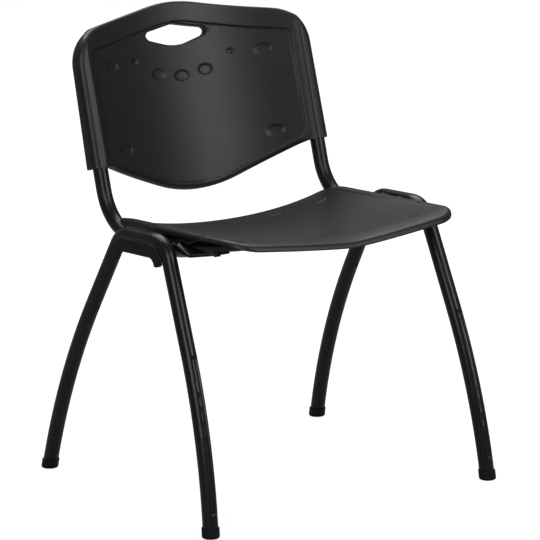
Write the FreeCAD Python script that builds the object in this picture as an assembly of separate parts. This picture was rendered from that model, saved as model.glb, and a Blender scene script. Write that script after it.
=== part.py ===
import FreeCAD, Part
import math
import os

from FreeCAD import Matrix, Rotation, Vector

# A stacking choir chair: two steel leg loops and a bent back frame carry a moulded seat and back.
# Millimetres. X runs across the chair, -Y is the sitter's front, Z is up and the floor is z = 0.
# The right-hand pieces are modelled and mirrored to the left.

# Steel tube
tube_radius = 12.7
tube_wall = 1.5
weld_gap = 0.15

# The seat's half width, which the rails, the loops, the back and the screws follow
seat_half_width = 226.0
rail_inset = 4.0
rail_x = seat_half_width - rail_inset

# Leg loops, each one tube bent in a plane that leans inward as it rises
loop_splay = 2.72
bar_middle_y = -9.4
bar_middle_z = 448.6
loop_gap = 12.0
loop_foot_x = rail_x + 2 * tube_radius + loop_gap + bar_middle_z * math.tan(math.radians(loop_splay))
bar_length = 130.0
bar_pitch = 3.0
knee_radius = 45.0
front_leg_lean = 24.0
rear_leg_lean = 31.7
front_leg_straight = 149.0
rear_leg_straight = 134.5
leg_bow_radius = 1040.0
below_floor = 25.0

# Grooves pressed into the front of each bowed leg
flute_radius = 8.0
flute_depth = 4.0
flute_start_run = 8.0
front_flute_stop_z = 42.0
rear_flute_stop_z = -10.0

# Glides on the four feet
glide_radius = 14.6
glide_height = 16.0
glide_floor = 5.0
glide_edge = 3.0
glide_clearance = 0.3

# Back frame: an upright that bends forward into a rail under each side of the seat
rail_bend_y = 88.3
rail_bend_z = 430.3
rail_pitch = 0.5
upright_bend_radius = 85.0
back_lean = 16.5
upright_length = 215.0
rail_straight = 140.0
tab_bend_radius = 70.0
tab_pitch = 12.5
flatten_length = 45.0
tab_length = 64.0
tab_thickness = 5.0
tab_gap = 0.5

# Cross tubes, bowed down to clear the dished seat
cross_radius = 9.5
front_cross_y = -12.0
rear_cross_y = 74.0
cross_seat_clearance = 3.0

# Plates that tie each loop to its rail
bridge_length = 26.0
bridge_thickness = 8.0
bridge_bar_lift = 8.0
bridge_rail_lift = 4.0
front_bridge_y = -30.0
rear_bridge_y = 16.0

# Seat shell
seat_rear_y = 146.0
seat_front_y = -228.0
seat_front_bulge = 6.0
seat_rear_corner = 38.0
seat_front_corner = 50.0
seat_wall = 4.5
seat_edge_round = 6.0
seat_side_z = 462.6
seat_side_pitch = 2.9
seat_rear_drop = 6.0
seat_rear_roll = 56.0
seat_centre_rear_z = 420.0
seat_centre_front_z = 450.0
seat_centre_low_y = 86.0
seat_centre_power = 1.6
seat_roll_start = 45.0
seat_roll_drop = 7.0
seat_ledge_width = 21.0
seat_ledge_x = seat_half_width - seat_ledge_width
seat_ledge_tilt = 4.0
seat_crease = 0.06
seat_bowl = 0.67
seat_vee_start_y = -60.0
seat_vee_round = 0.1
seat_flange_rear = 15.5
seat_flange_front = 8.2

# Grooves that run out over the seat's side edges, and rows of shallow slots in its face
slot_length = 27.0
slot_width = 6.0
slot_depth = 2.5
side_slot_inset = 3.0
side_slot_x = seat_half_width - side_slot_inset
side_slot_turn = -35.0
rear_side_slot_y = 20.0
front_side_slot_y = -125.0
rear_face_slot_y = 108.0
rear_face_slot_pitch = 82.0
rear_face_slot_bow = 20.0
front_face_slot_y = -140.0
front_face_slot_pitch = 158.0
front_face_slot_bow = 44.0

# Tabs that hold the seat, with their screws and moulded bosses
seat_tab_reach = 29.0
seat_tab_x = rail_x - seat_tab_reach
seat_tab_width = 26.0
seat_tab_thickness = 3.0
seat_tab_lift = 7.0
seat_tab_round = 8.0
rail_end_clearance = 4.0
front_seat_tab_y = rail_bend_y - rail_straight + rail_end_clearance + seat_tab_width / 2
rear_seat_tab_y = 48.0
boss_radius = 8.0
seat_screw_radius = 2.5
seat_screw_head_radius = 5.5
seat_screw_head_height = 3.0
seat_screw_bite = 7.0
screw_clearance = 0.3
front_screw_inset = 8.0
front_screw_x = rail_x - front_screw_inset
front_screw_from_end = 22.0

# Back shell, laid out along the upright: v up the lean, w square to it and rearward
back_panel_radius = 420.0
back_panel_depth = 48.5
back_wall = 4.5
back_recess_step = 2.5
sleeve_foot_v = 37.5
sleeve_inner_wall = 4.6
sleeve_outer_wall = 4.5
sleeve_taper = 3.5
sleeve_front_depth = 15.0
sleeve_rear_depth = 17.4
sleeve_rear_taper = 2.4
sleeve_front_round = 12.5
sleeve_rear_round = 5.0
back_top_v = 312.5
back_top_slope = 12.1
back_top_round = 220.0
back_corner_round = 67.0
back_foot_round = 3.0
back_low_v = -29.7
back_low_round = 250.0
recess_inset = 21.0
recess_half_width = rail_x - recess_inset
recess_top_v = 277.3
recess_top_slope = 12.4
recess_top_round = 170.0
recess_corner = 11.0
back_lip_depth = 8.0
back_lip_wall = 3.5
pocket_depth = 212.0
pocket_clearance = 0.3

# Hand hole near the top of the back
hand_hole_v = 249.7
hand_hole_half_width = 60.0
hand_hole_rise = 20.0
hand_hole_drop = 20.0
hand_hole_end_radius = 10.0
hand_hole_collar_wall = 3.0
hand_hole_collar_depth = 9.0

# Oval dimples pressed into the back panel: x, v, half width, half height
dimple_depth = 2.0
corner_dimple = (154.0, 206.0, 16.5, 10.5)
small_dimple = (97.0, 210.0, 8.0, 6.0)
inner_dimple = (47.3, 185.0, 15.0, 10.5)
middle_dimple = (0.0, 179.0, 16.5, 10.5)
lower_dimple = (152.6, 63.0, 17.0, 10.5)

# Screws through the rear of the sleeves
back_screw_radius = 2.4
back_screw_head_radius = 5.0
back_screw_head_height = 2.4
low_back_screw_v = 62.0
high_back_screw_v = 170.0

# Stacking bumper under each loop's bar
bumper_half_width = 15.5
bumper_rim = 3.6
bumper_depth = 28.0
bumper_corner = 4.0
bumper_end_radius = 15.0
bumper_end_depth = 16.0
bumper_front_end = -10.0
bumper_rear_end = -2.0
bumper_clearance = 0.3
rivet_radius = 2.4
rivet_head_radius = 5.0
rivet_head_height = 1.6
rivet_grip = 4.0

# Solids larger than the chair, for cutting
big = 1200.0


def sin(degrees):
    return math.sin(math.radians(degrees))


def cos(degrees):
    return math.cos(math.radians(degrees))


def tan(degrees):
    return math.tan(math.radians(degrees))


# Bent tube paths in the plane x = 0, drawn as a tube bender would make them
def step_run(state, length):
    point, heading = state
    end = point + Vector(0, cos(heading), sin(heading)) * length
    return Part.makeLine(point, end), (end, heading)


def step_bend(state, radius, turn):
    point, heading = state
    side = 1 if turn > 0 else -1
    centre = point + Vector(0, -sin(heading), cos(heading)) * radius * side

    def on_arc(angle):
        return centre + Vector(0, sin(heading + angle), -cos(heading + angle)) * radius * side

    edge = Part.Arc(point, on_arc(turn / 2), on_arc(turn)).toShape()
    return edge, (on_arc(turn), heading + turn)


def bent_path(start, heading, steps):
    """Edges of a path of straight runs and tangent bends, with the state at its end."""
    state = (start, heading)
    edges = []
    for kind, *sizes in steps:
        make = step_run if kind == "run" else step_bend
        edge, state = make(state, *sizes)
        edges.append(edge)
    return edges, state


def round_sweep(edges, radius):
    """A solid round bar along connected edges."""
    wire = Part.Wire(edges)
    first = wire.Edges[0]
    start = first.valueAt(first.FirstParameter)
    along = first.tangentAt(first.FirstParameter)
    disc = Part.Wire([Part.makeCircle(radius, start, along)])
    return wire.makePipeShell([disc], True, False)


def mirrored(shape):
    return shape.mirror(Vector(0, 0, 0), Vector(1, 0, 0))


def below(height):
    """Everything under a level, as a box."""
    return Part.makeBox(2 * big, 2 * big, big, Vector(-big, -big, height - big))


# Leg loop in its own plane, before it leans
def bar_end(side):
    """The point where the bar's line meets a leg's line: side is -1 in front, +1 at the rear."""
    half = bar_length / 2
    return Vector(0, bar_middle_y + side * half * cos(bar_pitch),
                  bar_middle_z - side * half * sin(bar_pitch))


def leg_steps(side, lean, straight):
    turn = 90 - lean - side * bar_pitch
    run = bar_length / 2 - knee_radius * tan(turn / 2)
    knee_point = bar_end(side)
    first_drop = (knee_radius * tan(turn / 2) + straight) * cos(lean)
    bow_drop = knee_point.z - first_drop + below_floor
    foot_lean = math.degrees(math.asin(sin(lean) - bow_drop / leg_bow_radius))
    return [("run", run), ("bend", knee_radius, turn * -side),
            ("run", straight), ("bend", leg_bow_radius, (lean - foot_lean) * -side)]


def leg_edges(side):
    lean = front_leg_lean if side < 0 else rear_leg_lean
    straight = front_leg_straight if side < 0 else rear_leg_straight
    heading = -bar_pitch if side > 0 else 180 - bar_pitch
    middle = Vector(0, bar_middle_y, bar_middle_z)
    return bent_path(middle, heading, leg_steps(side, lean, straight))[0]


def loop_edges():
    front = leg_edges(-1)
    rear = leg_edges(1)
    return Part.__sortEdges__(front + rear)


def lean_loop(shape):
    """Stand a piece of the loop's plane on the right-hand side of the chair."""
    placed = shape.copy()
    placed.rotate(Vector(0, 0, 0), Vector(0, 1, 0), -loop_splay)
    placed.translate(Vector(loop_foot_x, 0, 0))
    return placed


def flute(side, grow):
    """The pressed groove along a bowed leg, on the leg's front."""
    bow = leg_edges(side)[-1]
    centre = bow.Curve.Center
    offset = tube_radius + flute_radius - flute_depth
    groove_radius = leg_bow_radius - side * offset
    stop_z = front_flute_stop_z if side < 0 else rear_flute_stop_z

    def at_height(z):
        rise = z - centre.z
        reach = math.sqrt(groove_radius ** 2 - rise ** 2)
        return Vector(0, centre.y + side * reach, z)

    top_z = bow.valueAt(bow.FirstParameter).z - flute_start_run
    if bow.valueAt(bow.LastParameter).z > bow.valueAt(bow.FirstParameter).z:
        top_z = bow.valueAt(bow.LastParameter).z - flute_start_run
    top = at_height(top_z)
    stop = at_height(stop_z)
    arc = Part.Arc(top, at_height((top_z + stop_z) / 2), stop).toShape()
    tool = round_sweep([arc], flute_radius + grow)
    for end in (top, stop):
        tool = tool.fuse(Part.makeSphere(flute_radius + grow, end))
    return tool


def loop_solid(radius, grow):
    solid = round_sweep(loop_edges(), radius)
    for side in (-1, 1):
        solid = solid.cut(flute(side, grow))
    return solid


def leg_loop():
    outside = loop_solid(tube_radius, 0)
    bore = loop_solid(tube_radius - tube_wall, tube_wall)
    loop = outside.cut(bore).cut(rivet_tool(rivet_radius, rivet_grip - tube_radius))
    return lean_loop(loop).cut(below(glide_floor + glide_clearance))


def foot_axis(side):
    """Where a leg's centre line meets the floor, and its direction there."""
    bow = leg_edges(side)[-1]
    centre = bow.Curve.Center
    reach = math.sqrt(leg_bow_radius ** 2 - centre.z ** 2)
    foot = Vector(0, centre.y + side * reach, 0)
    radial = foot - centre
    along = Vector(0, -radial.z, radial.y)
    if along.z < 0:
        along = along * -1
    turn = Rotation(Vector(0, 1, 0), -loop_splay)
    return turn.multVec(foot) + Vector(loop_foot_x, 0, 0), turn.multVec(along.normalize())


def glide(side):
    """A cap that leans with the leg but has a level top and a level sole."""
    foot, along = foot_axis(side)
    sole = Part.Face(Part.Wire([Part.makeCircle(glide_radius, foot, Vector(0, 0, 1))]))
    cap = sole.extrude(along * (glide_height / along.z))
    rims = [edge for edge in cap.Edges if edge.BoundBox.ZMax < 0.1]
    cap = cap.makeFillet(glide_edge, rims)
    socket = lean_loop(round_sweep(leg_edges(side)[-1:], tube_radius + glide_clearance))
    return cap.cut(socket.cut(below(glide_floor)))


# Stacking bumper: a saddle on the inside of the loop's bar and knees
def bumper_run(side):
    """How far the centre of a rounded end lies along the leg, past the end of the knee."""
    return bumper_front_end if side < 0 else bumper_rear_end


def bumper_edges():
    edges = []
    for side in (-1, 1):
        lean = front_leg_lean if side < 0 else rear_leg_lean
        heading = -bar_pitch if side > 0 else 180 - bar_pitch
        steps = leg_steps(side, lean, bumper_run(side) + bumper_end_radius)[:3]
        edges += bent_path(Vector(0, bar_middle_y, bar_middle_z), heading, steps)[0]
    return Part.__sortEdges__(edges)


def bumper_end_tool(side):
    """What rounds one end of the bumper, seen from the chair's side."""
    straight = leg_edges(side)[2]
    first = straight.valueAt(straight.FirstParameter)
    last = straight.valueAt(straight.LastParameter)
    knee, leg = (first, last) if first.z > last.z else (last, first)
    along = (leg - knee).normalize()
    inward = Vector(0, -along.z * side, along.y * side) * -1
    centre = knee + along * bumper_run(side) + inward * bumper_end_depth
    reach = 3 * bumper_depth
    corners = [centre - inward * reach, centre + inward * reach,
               centre + inward * reach + along * reach, centre - inward * reach + along * reach]
    face = Part.Face(Part.makePolygon(corners + corners[:1]))
    slab = face.extrude(Vector(2 * reach, 0, 0))
    slab.translate(Vector(-reach, 0, 0))
    disc = Part.makeCylinder(bumper_end_radius, 4 * reach, centre - Vector(2 * reach, 0, 0),
                             Vector(1, 0, 0))
    return slab.cut(disc)


def rounded_rectangle(x0, z0, x1, z1, radius):
    """A closed outline with round corners in the plane y = 0."""
    corners = [Vector(x0, 0, z0), Vector(x1, 0, z0), Vector(x1, 0, z1), Vector(x0, 0, z1)]
    return rounded_polygon(corners, [radius] * 4)


def rounded_polygon(corners, radii):
    """A closed wire through corners, each one rounded by its own tangent arc, or sharp at 0."""
    count = len(corners)
    arcs = []
    for index, corner in enumerate(corners):
        before = (corners[index - 1] - corner).normalize()
        after = (corners[(index + 1) % count] - corner).normalize()
        half = before.getAngle(after) / 2
        reach = radii[index] / math.tan(half)
        bisector = (before + after).normalize()
        middle = corner + bisector * (radii[index] / math.sin(half) - radii[index])
        arcs.append((corner + before * reach, middle, corner + after * reach))
    edges = []
    for index, (start, middle, end) in enumerate(arcs):
        if radii[index] > 0:
            edges.append(Part.Arc(start, middle, end).toShape())
        follow = arcs[(index + 1) % count][0]
        if (follow - end).Length > 0.01:
            edges.append(Part.makeLine(end, follow))
    return Part.Wire(edges)


def stacking_bumper():
    edges = bumper_edges()
    path = Part.Wire(edges)
    first = path.Edges[0]
    start = first.valueAt(first.FirstParameter)
    along = first.tangentAt(first.FirstParameter)
    middle = Vector(0, bar_middle_y, bar_middle_z - big)
    inward = along.cross(Vector(1, 0, 0))
    if inward.dot(middle - start) < 0:
        inward = inward * -1
    across = inward.cross(along)
    section = rounded_rectangle(-bumper_half_width, bumper_rim, bumper_half_width,
                                bumper_depth, bumper_corner)
    frame = Matrix(across.x, along.x, inward.x, start.x, across.y, along.y, inward.y, start.y,
                   across.z, along.z, inward.z, start.z, 0, 0, 0, 1)
    section = section.transformGeometry(frame)
    body = path.makePipeShell([section], True, False)
    body = body.cut([bumper_end_tool(-1), bumper_end_tool(1)])
    body = body.cut(round_sweep(loop_edges(), tube_radius + bumper_clearance))
    return body.cut(rivet_tool(rivet_radius + bumper_clearance, -tube_radius))


def bar_frame():
    """The middle of the bar and the direction square to it, up and away from the bumper."""
    return Vector(0, bar_middle_y, bar_middle_z), Vector(0, sin(bar_pitch), cos(bar_pitch))


def rivet_tool(radius, top):
    """A hole up through the bumper's foot, to a height counted from the bar's centre line."""
    middle, up = bar_frame()
    foot = bumper_depth + 1
    return Part.makeCylinder(radius, foot + top, middle - up * foot, up)


def bumper_rivet():
    middle, up = bar_frame()
    foot = middle - up * (bumper_depth + rivet_head_height)
    head = Part.makeCylinder(rivet_head_radius, rivet_head_height, foot, up)
    length = bumper_depth + rivet_head_height - tube_radius + rivet_grip - weld_gap
    return head.fuse(Part.makeCylinder(rivet_radius, length, foot, up))


# Back frame: upright, bend, rail and flattened front tab
def rail_steps_forward():
    return [("run", rail_straight), ("bend", tab_bend_radius, tab_pitch - rail_pitch)]


def rail_path():
    """Rail edges from the rear bend forward, in a frame whose +Y points forward."""
    start = Vector(0, 0, rail_bend_z)
    return bent_path(start, rail_pitch, rail_steps_forward())


def upright_edges():
    start = Vector(0, rail_bend_y, rail_bend_z)
    turn = 90 - back_lean + rail_pitch
    steps = [("bend", upright_bend_radius, turn), ("run", upright_length)]
    return bent_path(start, -rail_pitch, steps)[0]


def flip_forward(shape):
    """Turn a piece drawn towards +Y round, so that it runs forward from the rear bend."""
    turned = shape.mirror(Vector(0, 0, 0), Vector(0, 1, 0))
    turned.translate(Vector(0, rail_bend_y, 0))
    return turned


def flat_oval(centre, along, half_width, half_height):
    """A stadium-shaped wire square to a direction in the plane x = 0."""
    up = Vector(0, -along.z, along.y)
    flat = half_width - half_height
    right = centre + Vector(flat, 0, 0)
    left = centre - Vector(flat, 0, 0)
    nose = Part.Arc(right + up * half_height, right + Vector(half_height, 0, 0),
                    right - up * half_height)
    tail = Part.Arc(left - up * half_height, left - Vector(half_height, 0, 0),
                    left + up * half_height)
    return Part.Wire([nose.toShape(), Part.makeLine(right - up * half_height, left - up * half_height),
                      tail.toShape(), Part.makeLine(left + up * half_height, right + up * half_height)])


def round_ring(centre, along, radius):
    """The tube's round outline in four arcs that match the stadium's four edges."""
    up = Vector(0, -along.z, along.y)

    def at(angle):
        return centre + Vector(cos(angle), 0, 0) * radius + up * (sin(angle) * radius)

    arcs = [Part.Arc(at(start), at(start - 45), at(start - 90)) for start in (45, -45, -135, 135)]
    return Part.Wire([arc.toShape() for arc in arcs])


def flat_centre(reach):
    """The middle of the pressed tab, which lies along the tube's underside, and its direction."""
    edges, (point, heading) = rail_path()
    along = Vector(0, cos(heading), sin(heading))
    up = Vector(0, -sin(heading), cos(heading))
    return point + along * reach - up * (tube_radius - tab_thickness / 2), along


def pressed_end(radius, half_height):
    """The rail's front end, pressed from round to flat; the girth of the tube is kept."""
    edges, (point, heading) = rail_path()
    flat_point, along = flat_centre(flatten_length)
    half_width = half_height + (radius - half_height) * math.pi / 2
    flat = flat_oval(flat_point, along, half_width, half_height)
    neck = Part.makeLoft([round_ring(point, along, radius), flat], True, True)
    tab = Part.Face(flat).extrude(along * tab_length)
    return neck, tab


def rail_end_point():
    end, along = flat_centre(flatten_length + tab_length)
    return Vector(end.x, rail_bend_y - end.y, end.z), Vector(along.x, -along.y, along.z)


def tab_screw_point():
    """The middle of the tab's screw hole, and the tab's upward square."""
    end, forward = rail_end_point()
    up = Vector(0, forward.z, -forward.y)
    middle = end - forward * front_screw_from_end
    return Vector(front_screw_x, middle.y, middle.z), up


def frame_solid(radius, half_height):
    solid = round_sweep(upright_edges(), radius)
    solid = solid.fuse(flip_forward(round_sweep(rail_path()[0], radius)))
    neck, tab = pressed_end(radius, half_height)
    return solid.fuse([flip_forward(neck), flip_forward(tab)])


def back_rail():
    outside = frame_solid(tube_radius, tab_thickness / 2)
    bore = frame_solid(tube_radius - tube_wall, tab_gap / 2)
    rail = outside.cut(bore)
    rail.translate(Vector(rail_x, 0, 0))
    point, up = tab_screw_point()
    hole = Part.makeCylinder(seat_screw_radius + screw_clearance, big / 20, point - up * big / 40, up)
    rail = rail.cut(hole)
    for place in back_screw_places():
        rail = rail.cut(back_screw_hole(place, back_screw_radius))
    return rail


def rail_height(y):
    """Height of the straight rail's centre line."""
    return rail_bend_z + (rail_bend_y - y) * tan(rail_pitch)


def rail_bar(radius):
    """The straight stretch of the right rail as a solid bar, for cutting seats on it."""
    direction = Vector(0, -cos(rail_pitch), sin(rail_pitch))
    start = Vector(rail_x, rail_bend_y + 40, rail_height(rail_bend_y + 40))
    return Part.makeCylinder(radius, rail_straight + 80, start, direction)


def loop_bar(radius):
    """The right loop's whole solid bar, for cutting seats on it."""
    return lean_loop(round_sweep(loop_edges(), radius))


def bridge_plate(y):
    """A short steel block welded between the loop's bar and the rail."""
    bar_z = bar_middle_z - (y - bar_middle_y) * tan(bar_pitch)
    bar_x = loop_foot_x - bar_z * tan(loop_splay)
    bar_point = Vector(bar_x, y, bar_z * cos(loop_splay) + bridge_bar_lift)
    rail_point = Vector(rail_x, y, rail_height(y) + bridge_rail_lift)
    along = (bar_point - rail_point).normalize()
    up = Vector(-along.z, 0, along.x)
    half = up * (bridge_thickness / 2)
    shift = Vector(0, -bridge_length / 2, 0)
    corners = [rail_point - half + shift, bar_point - half + shift,
               bar_point + half + shift, rail_point + half + shift]
    face = Part.Face(Part.makePolygon(corners + corners[:1]))
    plate = face.extrude(Vector(0, bridge_length, 0))
    return plate.cut(rail_bar(tube_radius + weld_gap)).cut(loop_bar(tube_radius + weld_gap))


# Seat surface: a height for each place on the plan
def ease(value):
    value = min(max(value, 0.0), 1.0)
    return value * value * (3 - 2 * value)


def seat_centre_height(y):
    """Height of the seat's middle line: low at the rear, rising to the front roll."""
    crest_y = seat_front_y + seat_roll_start / 2
    share = max(0.0, seat_centre_low_y - y) / (seat_centre_low_y - crest_y)
    rise = seat_centre_front_z - seat_centre_rear_z
    return seat_centre_rear_z + rise * share ** seat_centre_power - front_roll(y)


def front_roll(y):
    past = max(0.0, seat_front_y + seat_roll_start - y) / seat_roll_start
    return seat_roll_drop * past * past


def rear_roll(y):
    past = max(0.0, y - seat_rear_y + seat_rear_roll) / seat_rear_roll
    return seat_rear_drop * past * past


def seat_side_height(y):
    return seat_side_z - y * tan(seat_side_pitch) - front_roll(y)


def seat_dish(share, y):
    """The rise from the middle (0) to the ledge (1): a bowl at the rear, a soft vee at the front."""
    bowl = seat_bowl * share ** 2 + (1 - seat_bowl) * share ** 4
    vee = math.hypot(share, seat_vee_round) - seat_vee_round
    vee = vee / (math.hypot(1, seat_vee_round) - seat_vee_round)
    return bowl + (vee - bowl) * ease((seat_vee_start_y - y) / (seat_vee_start_y - seat_front_y))


def seat_height(x, y):
    share = abs(x) / seat_ledge_x
    dish = seat_dish(share, y)
    blend = (dish + 1 - math.hypot(dish - 1, seat_crease)) / 2
    low = seat_centre_height(y)
    crease = seat_side_height(y) - seat_ledge_tilt
    out = (abs(x) - seat_ledge_x) / (seat_half_width - seat_ledge_x)
    ledge = seat_ledge_tilt * (out + math.hypot(out, 0.2)) / 2
    return low + (crease - low) * blend + ledge - rear_roll(y) * min(share, 1.0) ** 4


def spread(first, last, count):
    return [first + (last - first) * index / (count - 1) for index in range(count)]


def seat_stations_x():
    middle = [seat_ledge_x * share for share in (0.1, 0.22, 0.38, 0.55, 0.72, 0.86, 0.94)]
    edge = seat_half_width + seat_edge_round
    side = middle + spread(seat_ledge_x - 5, edge, 6)
    return [-x for x in reversed(side)] + [0.0] + side


def seat_stations_y():
    beyond = seat_edge_round
    roll_y = seat_front_y + seat_roll_start
    rear = spread(seat_rear_y + beyond, roll_y + beyond, 12)
    return rear + spread(roll_y - beyond, seat_front_y - seat_front_bulge - beyond, 6)


def seat_surface(lower):
    """The seat's top face as a smooth surface, lowered by a function of y."""
    grid = [[Vector(x, y, seat_height(x, y) - lower(y)) for y in seat_stations_y()]
            for x in seat_stations_x()]
    surface = Part.BSplineSurface()
    surface.interpolate(grid)
    return surface.toShape()


def seat_outline(inset):
    """The seat's plan, with a gently bulging front edge."""
    side = seat_half_width - inset
    rear = seat_rear_y - inset
    front = seat_front_y + inset
    rear_round = seat_rear_corner - inset
    front_round = seat_front_corner - inset
    diagonal = cos(45)
    edges = []
    rear_left = Vector(-side + rear_round, rear, 0)
    rear_right = Vector(side - rear_round, rear, 0)
    edges.append(Part.makeLine(rear_left, rear_right))
    rear_side = Vector(side, rear - rear_round, 0)
    rear_middle = Vector(side - rear_round * (1 - diagonal), rear - rear_round * (1 - diagonal), 0)
    edges.append(Part.Arc(rear_right, rear_middle, rear_side).toShape())
    front_side = Vector(side, front + front_round, 0)
    edges.append(Part.makeLine(rear_side, front_side))
    front_right = Vector(side - front_round, front, 0)
    front_middle = Vector(side - front_round * (1 - diagonal), front + front_round * (1 - diagonal), 0)
    edges.append(Part.Arc(front_side, front_middle, front_right).toShape())
    nose = Vector(0, front - seat_front_bulge, 0)
    edges.append(Part.Arc(front_right, nose, Vector(-front_right.x, front, 0)).toShape())
    edges.append(Part.Arc(Vector(-front_right.x, front, 0), Vector(-front_middle.x, front_middle.y, 0),
                          Vector(-side, front_side.y, 0)).toShape())
    edges.append(Part.makeLine(Vector(-side, front_side.y, 0), Vector(-side, rear_side.y, 0)))
    edges.append(Part.Arc(Vector(-side, rear_side.y, 0), Vector(-rear_middle.x, rear_middle.y, 0),
                          rear_left).toShape())
    return Part.Wire(edges)


def seat_block(inset, lower):
    """Everything inside the plan and under the lowered seat surface."""
    prism = Part.Face(seat_outline(inset)).extrude(Vector(0, 0, big / 2))
    prism.translate(Vector(0, 0, big / 4))
    under = seat_surface(lower).extrude(Vector(0, 0, -big / 8))
    return prism.common(under)


def flange_depth(y):
    share = (seat_rear_y - y) / (seat_rear_y - seat_front_y)
    return seat_flange_rear + (seat_flange_front - seat_flange_rear) * share


def seat_boss_places():
    """Plan places of the right-hand bosses, with the height and direction of each one's foot."""
    tab_top = seat_tab_thickness / 2
    places = []
    for y in (front_seat_tab_y, rear_seat_tab_y):
        places.append((Vector(seat_tab_x, y, seat_tab_height(y) + tab_top), Vector(0, 0, 1)))
    point, up = tab_screw_point()
    places.append((point + up * (tab_thickness / 2), up))
    return places


def seat_boss(place):
    foot, up = place
    boss = Part.makeCylinder(boss_radius, big / 20, foot, up)
    hidden = seat_block(seat_wall / 2, lambda y: seat_wall / 2)
    return boss.common(hidden)


def seat_pilot(place):
    foot, up = place
    return Part.makeCylinder(seat_screw_radius, seat_screw_bite, foot, up)


def slot(x, y, turn):
    """A shallow round-ended slot in the seat's top face, lying on the slope there."""
    half = (slot_length - slot_width) / 2
    tool = Part.makeBox(2 * half, slot_width, slot_length, Vector(-half, -slot_width / 2, -slot_depth))
    for end in (-half, half):
        tool = tool.fuse(Part.makeCylinder(slot_width / 2, slot_length, Vector(end, 0, -slot_depth)))
    tool.rotate(Vector(0, 0, 0), Vector(0, 0, 1), turn)
    step = slot_width / 2
    slope = (seat_height(x + step, y) - seat_height(x - step, y)) / (2 * step)
    tool.rotate(Vector(0, 0, 0), Vector(0, 1, 0), -math.degrees(math.atan(slope)))
    tool.translate(Vector(x, y, seat_height(x, y)))
    return tool


def slot_row(y, pitch, count, bow):
    """Slots across the seat on a line that bows forward towards the sides."""
    return [slot(column * pitch, y - bow * (column / count) ** 2, 0)
            for column in range(-count, count + 1)]


def slots():
    row = slot_row(rear_face_slot_y, rear_face_slot_pitch, 2, rear_face_slot_bow)
    row += slot_row(front_face_slot_y, front_face_slot_pitch, 1, front_face_slot_bow)
    for y in (rear_side_slot_y, front_side_slot_y):
        side = slot(side_slot_x, y, side_slot_turn)
        row += [side, mirrored(side)]
    return row


def seat_shell():
    blank = seat_block(0, lambda y: 0.0)
    blank = blank.cut(seat_surface(flange_depth).extrude(Vector(0, 0, -big / 8)))
    rims = top_rim_edges(blank)
    blank = blank.makeFillet(seat_edge_round, rims)
    shell = blank.cut(seat_block(seat_wall, lambda y: seat_wall))
    bosses = [seat_boss(place) for place in seat_boss_places()]
    shell = shell.fuse(bosses + [mirrored(boss) for boss in bosses])
    pilots = [seat_pilot(place) for place in seat_boss_places()]
    return shell.cut(pilots + [mirrored(pilot) for pilot in pilots] + slots())


def top_rim_edges(blank):
    """Edges between the seat's top face and its side walls."""
    rims = []
    for edge in blank.Edges:
        point = edge.valueAt((edge.FirstParameter + edge.LastParameter) / 2)
        if abs(point.z - seat_height(point.x, point.y)) < 0.5:
            rims.append(edge)
    return rims


# Seat tabs, welded to the inboard side of each rail
def seat_tab_height(y):
    return rail_height(y) + seat_tab_lift


def seat_tab(y):
    reach = rail_x - seat_tab_x + seat_tab_width / 2
    plate = Part.makeBox(reach, seat_tab_width, seat_tab_thickness,
                         Vector(seat_tab_x - seat_tab_width / 2, y - seat_tab_width / 2,
                                seat_tab_height(y) - seat_tab_thickness / 2))
    corners = [edge for edge in plate.Edges
               if edge.BoundBox.ZLength > seat_tab_thickness / 2 and edge.BoundBox.XMax < seat_tab_x]
    plate = plate.makeFillet(seat_tab_round, corners)
    hole = Part.makeCylinder(seat_screw_radius + screw_clearance, big / 20,
                             Vector(seat_tab_x, y, seat_tab_height(y) - big / 40))
    return plate.cut(rail_bar(tube_radius + weld_gap)).cut(hole)


def seat_screw(place, grip):
    """A pan-head screw driven upward through its tab into a boss."""
    foot, up = place
    under = foot - up * (grip + seat_screw_head_height)
    head = Part.makeCylinder(seat_screw_head_radius, seat_screw_head_height, under, up)
    shank = Part.makeCylinder(seat_screw_radius, grip + seat_screw_head_height + seat_screw_bite,
                              under, up)
    return head.fuse(shank)


def seat_screws():
    places = seat_boss_places()
    grips = [seat_tab_thickness, seat_tab_thickness, tab_thickness]
    screws = [seat_screw(place, grip) for place, grip in zip(places, grips)]
    return Part.makeCompound(screws + [mirrored(screw) for screw in screws])


# Cross tubes
def cross_tube(y):
    """A bowed tube between the rails that clears the underside of the seat."""
    end_z = rail_height(y)
    middle_z = seat_height(0, y) - seat_wall - cross_seat_clearance - cross_radius
    arc = Part.Arc(Vector(-rail_x, y, end_z), Vector(0, y, middle_z), Vector(rail_x, y, end_z)).toShape()
    tube = round_sweep([arc], cross_radius)
    tube = tube.cut(round_sweep([arc], cross_radius - tube_wall))
    rail = rail_bar(tube_radius + weld_gap)
    tube = tube.cut([rail, mirrored(rail)])
    keep = [solid for solid in tube.Solids if abs(solid.CenterOfMass.x) < rail_x / 2]
    return keep[0]


# Back shell, modelled in the upright's frame and then leaned
def upright_origin():
    """Where the upright's straight length begins, on its centre line."""
    edge = upright_edges()[-1]
    ends = [edge.valueAt(edge.FirstParameter), edge.valueAt(edge.LastParameter)]
    return min(ends, key=lambda point: point.z)


def lean_back(shape):
    """Take a piece from x, w, v coordinates to the chair."""
    placed = shape.copy()
    placed.rotate(Vector(0, 0, 0), Vector(1, 0, 0), -back_lean)
    placed.translate(upright_origin())
    return placed


def sleeve_inner_x():
    return rail_x - tube_radius - pocket_clearance - sleeve_inner_wall


def sleeve_outer_x(v):
    """The sleeve's outside, which tapers inward from its foot to the peak of the back."""
    share = (v - sleeve_foot_v) / (back_top_v - sleeve_foot_v)
    return rail_x + tube_radius + pocket_clearance + sleeve_outer_wall - sleeve_taper * share


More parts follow.
